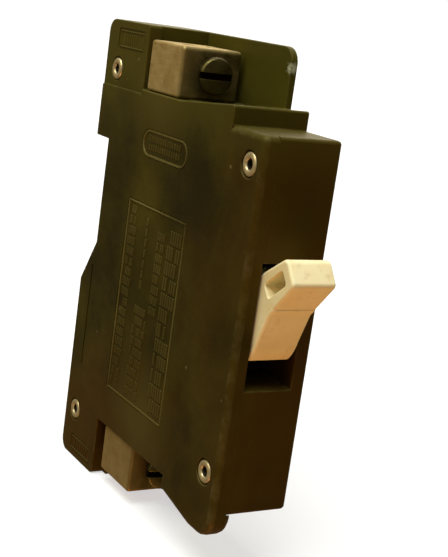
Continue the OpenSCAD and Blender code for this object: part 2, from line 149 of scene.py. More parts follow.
class Graph:
    """Builds one procedural material."""

    def __init__(self, name):
        self.material = bpy.data.materials.new(name)
        self.material.use_nodes = True
        self.tree = self.material.node_tree
        self.shader = self.tree.nodes["Principled BSDF"]
        self.place = self.add("ShaderNodeTexCoord").outputs["Object"]

    def add(self, kind, **settings):
        node = self.tree.nodes.new(kind)
        for key, value in settings.items():
            setattr(node, key, value)
        return node

    def link(self, source, socket):
        self.tree.links.new(source, socket)

    def set(self, **values):
        """Constants of the shader, by the names in SHADER_INPUTS."""
        for key, value in values.items():
            self.shader.inputs[SHADER_INPUTS[key]].default_value = value

    def scaled(self, x, y, z):
        """Object coordinates stretched along each axis."""
        mapping = self.add("ShaderNodeMapping")
        mapping.inputs["Scale"].default_value = (x, y, z)
        self.link(self.place, mapping.inputs["Vector"])
        return mapping.outputs["Vector"]

    def noise(self, scale, detail=4.0, rough=0.55, vector=None, distortion=0.0):
        node = self.add("ShaderNodeTexNoise")
        node.inputs["Scale"].default_value = scale
        node.inputs["Detail"].default_value = detail
        node.inputs["Roughness"].default_value = rough
        node.inputs["Distortion"].default_value = distortion
        self.link(vector or self.place, node.inputs["Vector"])
        return node.outputs["Fac"]

    def cells(self, scale):
        node = self.add("ShaderNodeTexVoronoi", feature="F1")
        node.inputs["Scale"].default_value = scale
        self.link(self.place, node.inputs["Vector"])
        return node.outputs["Distance"]

    def ramp(self, value, low, high, out_low=0.0, out_high=1.0):
        """Maps low..high to out_low..out_high, held at the ends."""
        node = self.add("ShaderNodeMapRange", clamp=True)
        limits = {"From Min": low, "From Max": high, "To Min": out_low, "To Max": out_high}
        for name, number in limits.items():
            node.inputs[name].default_value = number
        self.link(value, node.inputs["Value"])
        return node.outputs["Result"]

    def math(self, operation, a, b):
        node = self.add("ShaderNodeMath", operation=operation)
        for socket, value in zip(node.inputs, (a, b)):
            if isinstance(value, (int, float)):
                socket.default_value = value
            else:
                self.link(value, socket)
        return node.outputs[0]

    def times(self, a, b):
        return self.math("MULTIPLY", a, b)

    def mix(self, factor, a, b):
        node = self.add("ShaderNodeMix", data_type="RGBA")
        for socket, value in ((node.inputs[0], factor), (node.inputs[6], a), (node.inputs[7], b)):
            if isinstance(value, tuple):
                socket.default_value = (*value, 1)
            elif isinstance(value, (int, float)):
                socket.default_value = value
            else:
                self.link(value, socket)
        return node.outputs[2]

    def patch(self, point, wobble, outer, inner):
        """1 near a point of the object, 0 away from it; wobble is added to the distance."""
        node = self.add("ShaderNodeVectorMath", operation="DISTANCE")
        node.inputs[1].default_value = point
        self.link(self.place, node.inputs[0])
        return self.ramp(self.math("ADD", node.outputs["Value"], wobble), outer, inner)

    def spot(self, point, radius):
        """A small patch with a ragged outline."""
        ragged = self.times(self.noise(900, 3, 0.6), radius * 1.2)
        return self.patch(point, ragged, radius * 1.25, radius * 0.7)

    def stain(self, point, radius):
        """A broad patch that fades softly."""
        wander = self.times(self.noise(60, 4, 0.6), radius * 0.9)
        return self.patch(point, wander, radius * 1.35, radius * 0.6)

    def specks(self, scale, size, share):
        """Small dots: scale sets how close, size how big, share how many are left."""
        dots = self.ramp(self.cells(scale), size, size * 0.4)
        kept = self.ramp(self.noise(scale * 0.7, 2, 0.5), 1 - share, 1.05 - share)
        return self.times(dots, kept)

    def along(self, axis, start, end):
        """0 to 1 along an object axis."""
        split = self.add("ShaderNodeSeparateXYZ")
        self.link(self.place, split.inputs[0])
        return self.ramp(split.outputs[axis], start, end)

    def edge(self):
        """1 on the narrow rounded faces along the edges, 0 on the broad faces."""
        return self.add("ShaderNodeAttribute", attribute_name="edge").outputs["Fac"]

    def inside(self):
        """1 on the faces inside a bore or slot, 0 elsewhere."""
        return self.add("ShaderNodeAttribute", attribute_name="inside").outputs["Fac"]

    def facing(self, axis, sign=1.0):
        """How far the surface faces along an axis: 1 towards it, 0 across or away."""
        split = self.add("ShaderNodeSeparateXYZ")
        self.link(self.add("ShaderNodeNewGeometry").outputs["Normal"], split.inputs[0])
        return self.ramp(split.outputs[axis], 0.0, sign)

    def bump(self, height, distance, strength=1.0, after=None):
        node = self.add("ShaderNodeBump")
        node.inputs["Distance"].default_value = distance
        node.inputs["Strength"].default_value = strength
        self.link(height, node.inputs["Height"])
        if after is not None:
            self.link(after, node.inputs["Normal"])
        return node.outputs["Normal"]

    def finish(self, colour, roughness, normal=None):
        self.link(colour, self.shader.inputs["Base Color"])
        self.link(roughness, self.shader.inputs["Roughness"])
        if normal is not None:
            self.link(normal, self.shader.inputs["Normal"])
        return self.material


# ------------------------------------------------------------------ materials

# Tones laid over the case's own colour; the last one tints its gloss
BROWNED = (0.040, 0.0170, 0.0006)
GREENED = (0.066, 0.060, 0.0085)
DARK_PATCH_TONE = (0.0100, 0.0078, 0.0004)
PALE_PATCH_TONE = (0.090, 0.070, 0.016)
FLOW_STREAK = (0.070, 0.050, 0.0060)
FILLER_GRAIN = (0.080, 0.062, 0.014)
DUST = (0.085, 0.080, 0.024)
RUBBED = (0.120, 0.100, 0.045)
SPECK = (0.22, 0.19, 0.10)
PALE_SPOT_TONE = (0.46, 0.48, 0.40)
WARM_GLOSS = (1.0, 0.80, 0.34, 1.0)

# The case greens towards its top, and browns towards the lip and the front, between these places
GREENED_FROM_Z, GREENED_TO_Z = row(0, 0, 95).z, row(0, 0, 117).z
BROWNED_FROM_Z, BROWNED_TO_Z = row(0, 0, 34).z, row(0, 0, -4).z
BROWNED_FROM_Y, BROWNED_TO_Y = -30 * MM, -100 * MM

# A small pale spot on the far wall's top edge
PALE_SPOT, PALE_SPOT_RADIUS = row(HALF_WIDTH - 1.6, 28.3, 125.6), 3.2 * MM


def cover_patch(y, z, radius):
    """A place on the cover's face, and how far the patch reaches."""
    return row(-HALF_WIDTH, y, z), radius * MM


# Broad darker and paler patches at set places on the cover's side
DARK_PATCHES = (cover_patch(34, 84, 24), cover_patch(92, 80, 26), cover_patch(97, 46, 18))
PALE_PATCHES = (cover_patch(50, 10, 26), cover_patch(62, 112, 24))


def phenolic_colour(g, low, high, worn_share):
    """The moulding's two tones, then broad dark and pale patches, then grain, dust, wear and specks.
    """
    colour = g.mix(g.ramp(g.noise(30, 5, 0.6), 0.36, 0.66), low, high)
    upper = g.along(2, GREENED_FROM_Z, GREENED_TO_Z)
    towards_front = g.times(g.along(1, BROWNED_FROM_Y, BROWNED_TO_Y), 0.16)
    towards_lip = g.times(g.along(2, BROWNED_FROM_Z, BROWNED_TO_Z), 0.10)
    browned = g.math("ADD", g.noise(14, 3, 0.5), towards_front)
    browned = g.math("SUBTRACT", browned, g.times(upper, 0.14))
    browned = g.math("ADD", browned, towards_lip)
    colour = g.mix(g.ramp(browned, 0.50, 0.68, 0.0, 0.80), colour, BROWNED)
    colour = g.mix(g.times(upper, 0.62), colour, GREENED)
    for place, radius in DARK_PATCHES:
        colour = g.mix(g.times(g.stain(place, radius), 0.72), colour, DARK_PATCH_TONE)
    for place, radius in PALE_PATCHES:
        colour = g.mix(g.times(g.stain(place, radius), 0.50), colour, PALE_PATCH_TONE)
    streaks = g.noise(1, 4, 0.6, vector=g.scaled(60, 50, 16), distortion=0.6)
    colour = g.mix(g.ramp(streaks, 0.54, 0.80, 0.0, 0.45), colour, FLOW_STREAK)
    colour = g.mix(g.ramp(g.noise(2400, 2, 0.5), 0.60, 0.75, 0.0, 0.25), colour, FILLER_GRAIN)
    dust = g.times(g.facing(2), g.ramp(g.noise(90, 5, 0.65), 0.35, 0.7, 0.08, 0.40))
    colour = g.mix(dust, colour, DUST)
    worn = g.ramp(g.noise(170, 5, 0.7), 0.46, 0.72, 0.04, 0.42 * worn_share)
    colour = g.mix(g.times(g.edge(), worn), colour, RUBBED)
    colour = g.mix(g.times(g.specks(150, 0.10, 0.42), 0.5), colour, SPECK)
    return g.mix(g.spot(PALE_SPOT, PALE_SPOT_RADIUS), colour, PALE_SPOT_TONE)


def phenolic(name, low, high, worn_share=1.0):
    """Dark olive-brown moulding compound: flow marks, rubbed edges, dust and pale specks."""
    g = Graph(name)
    colour = phenolic_colour(g, low, high, worn_share)
    smears = g.noise(1, 5, 0.65, vector=g.scaled(120, 25, 60), distortion=1.2)
    roughness = g.ramp(smears, 0.3, 0.72, 0.40, 0.62)
    scratches = g.noise(1, 3, 0.7, vector=g.scaled(40, 240, 1900))
    fine = g.bump(g.noise(1500, 3, 0.6), 0.05 * MM, 0.40)
    scored = g.bump(g.ramp(scratches, 0.62, 0.70), 0.04 * MM, 0.35, after=fine)
    waves = g.bump(g.noise(55, 2, 0.5), 0.6 * MM, 0.30, after=scored)
    g.set(specular=0.22, specular_tint=WARM_GLOSS)
    return g.finish(colour, roughness, waves)


def cream_plastic():
    """Cream handle plastic with a faint flow pattern and grime; painted shade darkens its side facing
    -X.
    """
    g = Graph("cream_plastic")
    grime, soot, shaded_side, polished = (
        (0.46, 0.27, 0.10), (0.30, 0.17, 0.06), (0.56, 0.47, 0.30), (0.95, 0.88, 0.64))
    clouds = g.noise(80, 4, 0.55)
    colour = g.mix(g.ramp(clouds, 0.3, 0.7), (0.84, 0.71, 0.42), (0.93, 0.85, 0.60))
    colour = g.mix(g.ramp(g.noise(260, 6, 0.72), 0.56, 0.80, 0.0, 0.45), colour, grime)
    colour = g.mix(g.times(g.specks(420, 0.10, 0.40), 0.6), colour, soot)
    # Painted shade: the side facing -X is darkened towards a deeper yellow
    colour = g.mix(g.times(g.facing(0, -1.0), 0.30), colour, shaded_side)
    colour = g.mix(g.times(g.edge(), 0.4), colour, polished)
    roughness = g.ramp(g.noise(140, 4, 0.6), 0.3, 0.7, 0.34, 0.52)
    fine = g.bump(g.noise(1300, 2, 0.5), 0.04 * MM, 0.35)
    waves = g.bump(g.noise(90, 3, 0.5), 0.4 * MM, 0.35, after=fine)
    g.set(
        subsurface=0.12, subsurface_scale=2 * MM, subsurface_radius=(1.0, 0.6, 0.3),
        specular=0.35)
    return g.finish(colour, roughness, waves)


def brushed(g):
    """The grain that working leaves on a metal, and its normal: fine lines with shallow dents."""
    lines = g.noise(1, 3, 0.6, vector=g.scaled(300, 300, 2400))
    grooves = g.bump(lines, 0.03 * MM, 0.6)
    return lines, g.bump(g.noise(380, 3, 0.6), 0.1 * MM, 0.3, after=grooves)


def tinned_lug():
    """Tin-plated aluminium gone yellow, darker on the lower lug, with painted shade on its front by
    the screw.
    """
    g = Graph("tinned_lug")
    stain, lower_tone, front_shade_tone = (0.20, 0.13, 0.045), (0.17, 0.110, 0.030), (0.066, 0.054, 0.008)
    colour = g.mix(g.ramp(g.noise(150, 5, 0.6), 0.32, 0.68), (0.41, 0.29, 0.12), (0.56, 0.43, 0.22))
    colour = g.mix(g.ramp(g.noise(420, 6, 0.7), 0.56, 0.76, 0.0, 0.6), colour, stain)
    # Darker towards the bottom: the lower lug takes a darker tone
    lower = g.along(2, row(0, 0, 60).z, row(0, 0, 0).z)
    colour = g.mix(lower, colour, g.mix(0.45, colour, lower_tone))
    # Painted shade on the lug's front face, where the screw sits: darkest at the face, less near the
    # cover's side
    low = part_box("line_lug")[0]
    front_shade = g.along(1, low.y + 1.6 * MM, low.y + 0.1 * MM)
    front_shade = g.times(front_shade, g.ramp(g.noise(300, 4, 0.6), 0.30, 0.65, 0.72, 1.0))
    front_shade = g.times(front_shade, g.ramp(g.along(0, low.x, low.x + 7 * MM), 0.0, 1.0, 0.72, 1.0))
    colour = g.mix(front_shade, colour, front_shade_tone)
    lines, normal = brushed(g)
    g.set(metallic=0.75)
    return g.finish(colour, g.ramp(lines, 0.3, 0.7, 0.46, 0.66), normal)


def metal(name, low, high, stain, rough, metallic=1.0):
    """A worked metal: two tones, stains in patches, bright edges, painted shade inside bores and
    slots.
    """
    g = Graph(name)
    bright = tuple(min(1.0, c * 1.35) for c in high)
    hollow_shade = (0.012, 0.008, 0.003)
    colour = g.mix(g.ramp(g.noise(160, 5, 0.6), 0.32, 0.68), low, high)
    colour = g.mix(g.ramp(g.noise(420, 6, 0.7), 0.56, 0.76, 0.0, 0.7), colour, stain)
    colour = g.mix(g.times(g.edge(), 0.6), colour, bright)
    # Painted shade: faces inside bores and slots are made nearly black
    colour = g.mix(g.times(g.inside(), 0.92), colour, hollow_shade)
    lines, normal = brushed(g)
    roughness = g.math("MAXIMUM", g.ramp(lines, 0.3, 0.7, *rough), g.times(g.inside(), 0.9))
    g.set(metallic=metallic)
    return g.finish(colour, roughness, normal)


def woven_copper():
    """Braided copper strands, bright on top and dull between."""
    g = Graph("woven_copper")
    strands = g.add("ShaderNodeTexWave", wave_type="BANDS", bands_direction="DIAGONAL")
    strands.inputs["Scale"].default_value = 900
    strands.inputs["Distortion"].default_value = 3
    g.link(g.place, strands.inputs["Vector"])
    raised = strands.outputs["Fac"]
    colour = g.mix(raised, (0.30, 0.12, 0.05), (0.80, 0.42, 0.22))
    g.set(metallic=1.0)
    return g.finish(colour, g.ramp(raised, 0, 1, 0.5, 0.3), g.bump(raised, 0.2 * MM, 0.7))


def fibre_board():
    """Vulcanised fibre: layered, matt, reddish brown."""
    g = Graph("fibre_board")
    layers = g.noise(1, 4, 0.6, vector=g.scaled(3000, 90, 90))
    colour = g.mix(g.ramp(layers, 0.3, 0.7), (0.20, 0.075, 0.035), (0.34, 0.15, 0.08))
    roughness = g.ramp(g.noise(400), 0.3, 0.7, 0.6, 0.85)
    return g.finish(colour, roughness, g.bump(layers, 0.08 * MM, 0.5))


def studio_floor():
    """Pale and matt; it glows a little, so that the object's shadow on it stays light."""
    g = Graph("studio_floor")
    colour = g.mix(g.ramp(g.noise(3, 3, 0.5), 0.3, 0.7), (0.40, 0.42, 0.47), (0.42, 0.44, 0.49))
    g.set(emission_colour=(0.98, 0.98, 1.0, 1), emission=0.58)
    return g.finish(colour, g.ramp(g.noise(9), 0.3, 0.7, 0.75, 0.9))


PHENOLIC = phenolic("phenolic", (0.014, 0.0105, 0.0004), (0.054, 0.044, 0.0036))
# Lighter copies of the compound for the raised marks and their rims: partly rubbed wear on their
# crests, partly painted highlight
MARKING = phenolic("phenolic_marking", (0.044, 0.036, 0.0080), (0.090, 0.074, 0.022), 0.6)
BORDER = phenolic("phenolic_border", (0.085, 0.070, 0.020), (0.15, 0.125, 0.045), 0.6)
CREAM = cream_plastic()
TINNED = tinned_lug()
EYELET = metal(
    "eyelet_metal", (0.50, 0.41, 0.25), (0.70, 0.60, 0.42), (0.26, 0.19, 0.09),
    (0.34, 0.52), 0.8)
DARK_SCREW = metal(
    "blackened_screw", (0.060, 0.050, 0.016), (0.12, 0.105, 0.045), (0.025, 0.018, 0.005),
    (0.34, 0.55))
STEEL = metal(
    "zinc_steel", (0.46, 0.47, 0.46), (0.66, 0.66, 0.63), (0.30, 0.29, 0.25),
    (0.25, 0.42))
IRON = metal(
    "bare_iron", (0.20, 0.20, 0.20), (0.33, 0.32, 0.31), (0.16, 0.10, 0.06),
    (0.45, 0.7))
COPPER = metal(
    "bare_copper", (0.62, 0.30, 0.16), (0.80, 0.44, 0.26), (0.26, 0.12, 0.07),
    (0.28, 0.48))
BRASS = metal(
    "turned_brass", (0.58, 0.43, 0.17), (0.78, 0.62, 0.30), (0.30, 0.20, 0.08),
    (0.25, 0.42))
SILVER = metal(
    "silver_alloy", (0.70, 0.70, 0.68), (0.86, 0.86, 0.84), (0.35, 0.33, 0.30),
    (0.3, 0.5))
BIMETAL = metal(
    "rolled_bimetal", (0.48, 0.42, 0.32), (0.66, 0.60, 0.48), (0.30, 0.22, 0.14),
    (0.3, 0.5))
BRAID = woven_copper()
FIBRE = fibre_board()

SLOT_MATERIALS = {
    "case": PHENOLIC, "handle": CREAM, "eyelet": EYELET, "lug": TINNED, "screw": DARK_SCREW,
    "steel": STEEL, "iron": IRON, "copper": COPPER, "brass": BRASS, "contact": SILVER,
    "bimetal": BIMETAL, "fibre": FIBRE,
}


def dress_cad_nodes():
    """Each CAD node takes its record slot's material; those replaced below are hidden."""
    slots = {s["node"]: s["material_slot"] for s in frame["record"]["subparts"]}
    for name, node in nodes.items():
        material = BRAID if name == "braid" else SLOT_MATERIALS[slots[name]]
        node.data.materials.clear()
        node.data.materials.append(material)


dress_cad_nodes()


# ------------------------------------------------------------------ mesh helpers

SMOOTH_ANGLE = math.radians(32)
SHARP_ANGLE = math.radians(30)
FLAT_ANGLE = math.radians(0.5)
WELD = 0.002 * MM


def link_object(name, mesh, *materials):
    mesh.materials.clear()
    for material in materials:
        mesh.materials.append(material)
    piece = bpy.data.objects.new(name, mesh)
    bpy.context.scene.collection.objects.link(piece)
    return piece


def clean_copy(node):
    """The node's mesh, welded, with its flat faces joined up."""
    work = bmesh.new()
    work.from_mesh(nodes[node].data)
    bmesh.ops.remove_doubles(work, verts=work.verts, dist=WELD)
    bmesh.ops.dissolve_limit(
        work, angle_limit=FLAT_ANGLE, verts=work.verts, edges=work.edges, delimit={"NORMAL"})
    return work


def applied(piece):
    """The piece's mesh with its modifiers applied; the piece itself is removed."""
    depsgraph = bpy.context.evaluated_depsgraph_get()
    mesh = bpy.data.meshes.new_from_object(piece.evaluated_get(depsgraph))
    bpy.data.objects.remove(piece)
    return mesh


def rounded(work, name, material, width_of, segments):
    """Rounds each sharp edge by width_of(edge) millimetres; the faces this makes carry edge = 1."""
    weights = work.edges.layers.float.new("bevel_weight_edge")
    widths = {
        e: width_of(e) for e in work.edges
        if len(e.link_faces) == 2 and e.calc_face_angle(0) > SHARP_ANGLE}
    widest = max(widths.values())
    for edge, width in widths.items():
        edge[weights] = width / widest
    mesh = bpy.data.meshes.new(name)
    work.to_mesh(mesh)
    work.free()
    blank = link_object(name + "_blank", mesh, material, material)
    bevel = blank.modifiers.new("round", "BEVEL")
    bevel.limit_method = "WEIGHT"
    bevel.width = widest * MM
    bevel.segments = segments
    bevel.use_clamp_overlap = False
    bevel.loop_slide = False
    bevel.material = 1
    mesh = applied(blank)
    edge_mark = mesh.attributes.new("edge", "FLOAT", "FACE")
    for face in mesh.polygons:
        edge_mark.data[face.index].value = float(face.material_index)
        face.material_index = 0
    mesh.name = name
    return link_object(name, mesh, material)


def smooth_shade(piece, angle=SMOOTH_ANGLE):
    piece.data.shade_smooth()
    piece.data.set_sharp_from_angle(angle=angle)
    weighted = piece.modifiers.new("weighted", "WEIGHTED_NORMAL")
    weighted.keep_sharp = True
    weighted.weight = 80


def moulded(node, name, body, material, width_of, segments=2):
    """A CAD node with its edges rounded as moulding or machining leaves them."""
    piece = rounded(clean_copy(node), name, material, width_of, segments)
    smooth_shade(piece)
    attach(piece, body)
    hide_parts(node)


def mark_inside(piece, test):
    """Marks the faces in a bore or slot, which the metals darken as painted shade, by test(centre,
    normal).
    """
    mark = piece.data.attributes.new("inside", "FLOAT", "FACE")
    for face in piece.data.polygons:
        mark.data[face.index].value = float(test(face.center, face.normal))


def circle(centre, side, other, radius, count):
    """Points round a centre, in the plane of two unit vectors."""
    return [
        centre + radius * (math.cos(a) * side + math.sin(a) * other)
        for a in (2 * math.pi * k / count for k in range(count))]


def join_rings(work, low, high):
    """A band of quads between two rings of as many vertices."""
    count = len(low)
    for k in range(count):
        n = (k + 1) % count
        work.faces.new((low[k], low[n], high[n], high[k]))


def lathe(work, profile, origin, axis, segments):
    """Turns a (radius, height) profile about an axis; an end is closed if it reaches the axis."""
    axis = Vector(axis).normalized()
    side = axis.orthogonal().normalized()
    other = axis.cross(side)
    rings = []
    for radius, height in profile:
        centre = origin + axis * height
        if radius < 1e-7:
            rings.append([work.verts.new(centre)])
            continue
        rings.append([work.verts.new(p) for p in circle(centre, side, other, radius, segments)])
    for low, high in zip(rings, rings[1:]):
        if len(low) == len(high):
            join_rings(work, low, high)
            continue
        for k in range(segments):
            n = (k + 1) % segments
            if len(low) == 1:
                work.faces.new((low[0], high[n], high[k]))
            else:
                work.faces.new((low[k], low[n], high[0]))


def arc(centre, radius, start, end, steps):
    """Points of an arc in a profile, angles in degrees."""
    return [
        (centre[0] + radius * math.cos(math.radians(start + (end - start) * i / steps)),
         centre[1] + radius * math.sin(math.radians(start + (end - start) * i / steps)))
        for i in range(steps + 1)]


def finish_mesh(work, name, material):
    bmesh.ops.recalc_face_normals(work, faces=work.faces)
    mesh = bpy.data.meshes.new(name)
    work.to_mesh(mesh)
    work.free()
    return link_object(name, mesh, material)


# ------------------------------------------------------------------ case

# Where the case's edges lie, in the drawing's millimetres
SPLIT_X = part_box("housing")[0].x / MM
LIP_LOW_Z = -1.0
LIP_BACK_Y = 30.4
FRONT_TOP_Z = 108.8
FRONT_TOP_ARC = 2.1
FRONT_ARC = 1.2
STEP_Y = 18.1
MARK_DEPTH = 0.3
TOP_RECESS = 0.4
MARK_FLOORS = (-HALF_WIDTH + MARK_DEPTH, -HALF_WIDTH + TOP_RECESS + MARK_DEPTH)

# Widths of the rounding, in millimetres
COVER_ROUND, COVER_BREAK = 1.9, 0.4
HOUSING_ROUND, HOUSING_BREAK = 1.1, 0.45
SEAM_BREAK = 0.12


def on_marking(edge):
    """True for the shallow recesses in the cover's face, whose edges are too low to round."""
    points = [drawing(v.co) for f in edge.link_faces for v in f.verts]
    low = any(abs(p.x - floor) < 2 * TOUCH for p in points for floor in MARK_FLOORS)
    return low and all(p.x < MARK_FLOORS[1] + 2 * TOUCH for p in points)


def on_front_top(a, b):
    """True for an edge of the front block's top, its front corner's arc included."""
    low, high = min(a.z, b.z), max(a.z, b.z)
    return (FRONT_TOP_Z - FRONT_TOP_ARC < low and high < FRONT_TOP_Z + TOUCH
            and max(a.y, b.y) < STEP_Y + TOUCH)


def cover_edge(edge):
    """The lip, the front edge and the front block's top are well rounded; the seam is tight."""
    a, b = (drawing(v.co) for v in edge.verts)
    if on_marking(edge):
        return 0.0
    on_side = max(a.x, b.x) < -HALF_WIDTH + TOUCH
    lip = max(a.z, b.z) < LIP_LOW_Z and min(a.y, b.y) < LIP_BACK_Y
    front = max(a.y, b.y) < TOUCH
    if on_side and (lip or front or on_front_top(a, b)):
        return COVER_ROUND
    if min(a.x, b.x) > SPLIT_X - TOUCH:
        past_split = min(a.x, b.x) > SPLIT_X + TOUCH
        return COVER_ROUND if lip and past_split else SEAM_BREAK
    return COVER_BREAK


def housing_edge(edge):
    """The front block's outline on the far side is well rounded; the seam is tight."""
    a, b = (drawing(v.co) for v in edge.verts)
    if max(a.x, b.x) < SPLIT_X + TOUCH:
        return SEAM_BREAK
    on_side = min(a.x, b.x) > HALF_WIDTH - TOUCH
    front = max(a.y, b.y) < FRONT_ARC + TOUCH
    below = max(abs(a.z), abs(b.z)) < TOUCH
    if on_side and (front or below or on_front_top(a, b)):
        return HOUSING_ROUND
    return HOUSING_BREAK


moulded("housing", "housing_shell", "case", PHENOLIC, housing_edge)
moulded("cover", "cover_shell", "case", PHENOLIC, cover_edge, 3)


# ------------------------------------------------------------------ moulded markings

RIDGE_SEED = 11
RIDGE_HEIGHT = MARK_DEPTH - 0.03
RIDGE_SLOPE = 0.12
RIDGE_ROOT = 0.05
PILL_STEPS = 10


def ridge(work, y0, y1, z0, z1, floor_x):
    """A low ridge with sloping sides on a recess floor of the cover, its root below the floor."""

    def ring(x, inset):
        near_y, far_y, low_z, high_z = y0 + inset, y1 - inset, z0 + inset, z1 - inset
        corners = ((near_y, low_z), (far_y, low_z), (far_y, high_z), (near_y, high_z))
        return [work.verts.new(row(x, y, z)) for y, z in corners]

    base = ring(floor_x + RIDGE_ROOT, 0.0)
    top = ring(floor_x - RIDGE_HEIGHT, min(RIDGE_SLOPE, (y1 - y0) / 4, (z1 - z0) / 4))
    join_rings(work, base, top)
    work.faces.new(top)
    work.faces.new(base[::-1])


def border(work, y0, y1, z0, z1, width, floor_x):
    """Four ridges round a rectangle."""
    ridge(work, y0, y1, z0, z0 + width, floor_x)
    ridge(work, y0, y1, z1 - width, z1, floor_x)
    ridge(work, y0, y0 + width, z0 + width, z1 - width, floor_x)
    ridge(work, y1 - width, y1, z0 + width, z1 - width, floor_x)


def pill_border(work, y0, y1, z0, z1, width, floor_x):
    """A raised rim along the inside of a recess with half-round ends."""
    radius, middle_z = (z1 - z0) / 2, (z0 + z1) / 2
    outline = [
        (centre_y, math.radians(start + 180 * i / PILL_STEPS))
        for centre_y, start in ((y0 + radius, 90), (y1 - radius, -90))
        for i in range(PILL_STEPS + 1)]
    root_x, crest_x = floor_x + RIDGE_ROOT, floor_x - RIDGE_HEIGHT
    section = (
        (0.0, root_x), (RIDGE_SLOPE, crest_x), (width - RIDGE_SLOPE, crest_x), (width, root_x))
    rings = []
    for centre_y, angle in outline:
        across, up = math.cos(angle), math.sin(angle)
        rings.append([
            work.verts.new(row(
                x, centre_y + (radius - inset) * across, middle_z + (radius - inset) * up))
            for inset, x in section])
    for here, there in zip(rings, rings[1:] + rings[:1]):
        join_rings(work, here, there)


def bars(work, draw, y0, y1, z0, z1, pitch, width, floor_x, length=2.6, gap=0.8, kept=0.86):
    """Upright rows of plain bars, all of one length; kept is the share that isn't left out."""
    slack = 1e-6
    y = y0
    while y + width <= y1 + slack:
        z = z0
        while z + length <= z1 + slack:
            if draw.random() < kept:
                ridge(work, y, y + width, z, z + length, floor_x)
            z += length + gap
        y += pitch


def make_markings():
    """Generic ridges in the recesses, where the real breaker has its moulded marks.

    Each area is given as y from, y to, z from, z to. A border's width follows, or the bars' pitch
    and width.
    """
    draw = random.Random(RIDGE_SEED)
    plate_x, top_x = MARK_FLOORS
    work = bmesh.new()
    rims = bmesh.new()
    # nameplate
    border(rims, 36.3, 75.2, 12.3, 76.7, 0.7, plate_x)
    bars(work, draw, 68.3, 73.9, 14.5, 75.5, 1.05, 0.66, plate_x)
    bars(work, draw, 60.2, 61.6, 50.0, 74.5, 1.4, 0.9, plate_x)
    bars(work, draw, 54.0, 62.8, 14.5, 44.5, 1.10, 0.72, plate_x)
    bars(work, draw, 38.0, 47.4, 14.5, 75.0, 1.45, 1.0, plate_x, 4.2, 0.7)
    bars(work, draw, 48.6, 53.4, 44.0, 72.0, 1.2, 0.75, plate_x)
    # oval mark above it
    pill_border(rims, 41.2, 70.8, 91.5, 100.1, 0.8, plate_x)
    bars(work, draw, 46.0, 67.0, 93.7, 98.3, 1.5, 0.8, plate_x, 1.9, 0.8, 1.0)
    # label by each terminal, top and bottom
    border(rims, 79.4, 96.7, 123.0, 128.5, 0.45, top_x)
    bars(work, draw, 84.4, 94.4, 124.4, 127.2, 1.6, 0.8, top_x, 2.8, 0.8, 1.0)
    border(rims, 82.6, 97.4, -18.4, -13.6, 0.45, plate_x)
    bars(work, draw, 85.0, 95.4, -17.4, -14.6, 1.6, 0.8, plate_x, 2.8, 0.8, 1.0)
    for shape, name, material in (
            (work, "cover_marks", MARKING), (rims, "cover_mark_borders", BORDER)):
        marks = finish_mesh(shape, name, material)
        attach(marks, "case")


make_markings()


# ------------------------------------------------------------------ eyelets

# Eyelet sizes in millimetres
EYELET_BORE = 1.6
EYELET_SHANK = 1.93
EYELET_HEAD = 3.45
EYELET_THICK = 0.9
EYELET_SEGMENTS = 40
HEAD_BACK_BREAK = 0.25
RIM_STEPS = 14
RIM_BREAK = 0.2
BORE_MOUTH = 1.2
BORE_SHADE_DEPTH = 0.75
BORE_SLACK = 0.1


def make_eyelets():
    """Tubes through both case halves with a rolled rim at each end."""
    roll = EYELET_THICK / 2
    top = HALF_WIDTH - roll
    lip_r = (EYELET_HEAD - EYELET_BORE) / 2
    middle = EYELET_BORE + lip_r
    half = [(EYELET_SHANK, 0.0), (EYELET_SHANK, top - roll)]
    half += [(EYELET_HEAD - HEAD_BACK_BREAK, top - roll), (EYELET_HEAD, top - roll + RIM_BREAK)]
    half += [(middle + lip_r * math.cos(a), top - RIM_BREAK + (roll + RIM_BREAK) * math.sin(a))
             for a in (math.pi * i / RIM_STEPS for i in range(RIM_STEPS + 1))]
    half += [(EYELET_BORE, top - BORE_MOUTH), (EYELET_BORE, 0.0)]
    work = bmesh.new()
    places = eyelet_places()
    for place in places:
        for side in (1, -1):
            lathe(work, [(r * MM, h * MM) for r, h in half], place, (side, 0, 0), EYELET_SEGMENTS)
    bmesh.ops.remove_doubles(work, verts=work.verts, dist=WELD)
    eyelets = finish_mesh(work, "eyelets", EYELET)
    mark_inside(eyelets, lambda centre, normal: in_bore(centre, places))
    smooth_shade(eyelets, math.radians(50))
    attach(eyelets, "case")
    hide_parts("case_rivets")


def in_bore(point, places):
    """True on the tube's inner wall, below the rolled rim."""
    if abs(point.x) > (HALF_WIDTH - BORE_SHADE_DEPTH) * MM:
        return False
    reach = (EYELET_BORE + BORE_SLACK) * MM
    return any(math.hypot(point.y - p.y, point.z - p.z) < reach for p in places)


def eyelet_places():
    """The eyelets' centres: their CAD solids are the four loose parts of one node."""
    work = bmesh.new()
    work.from_mesh(nodes["case_rivets"].data)
    bmesh.ops.remove_doubles(work, verts=work.verts, dist=WELD)
    left, places = set(work.verts), []
    while left:
        stack, island = [left.pop()], []
        while stack:
            vert = stack.pop()
            island.append(vert.co.copy())
            for edge in vert.link_edges:
                other = edge.other_vert(vert)
                if other in left:
                    left.remove(other)
                    stack.append(other)
        low = Vector([min(p[k] for p in island) for k in range(3)])
        high = Vector([max(p[k] for p in island) for k in range(3)])
        places.append(Vector((0, (low.y + high.y) / 2, (low.z + high.z) / 2)))
    work.free()
    return sorted(places, key=lambda p: (round(p.y, 5), round(p.z, 5)))


make_eyelets()


# ------------------------------------------------------------------ toggle

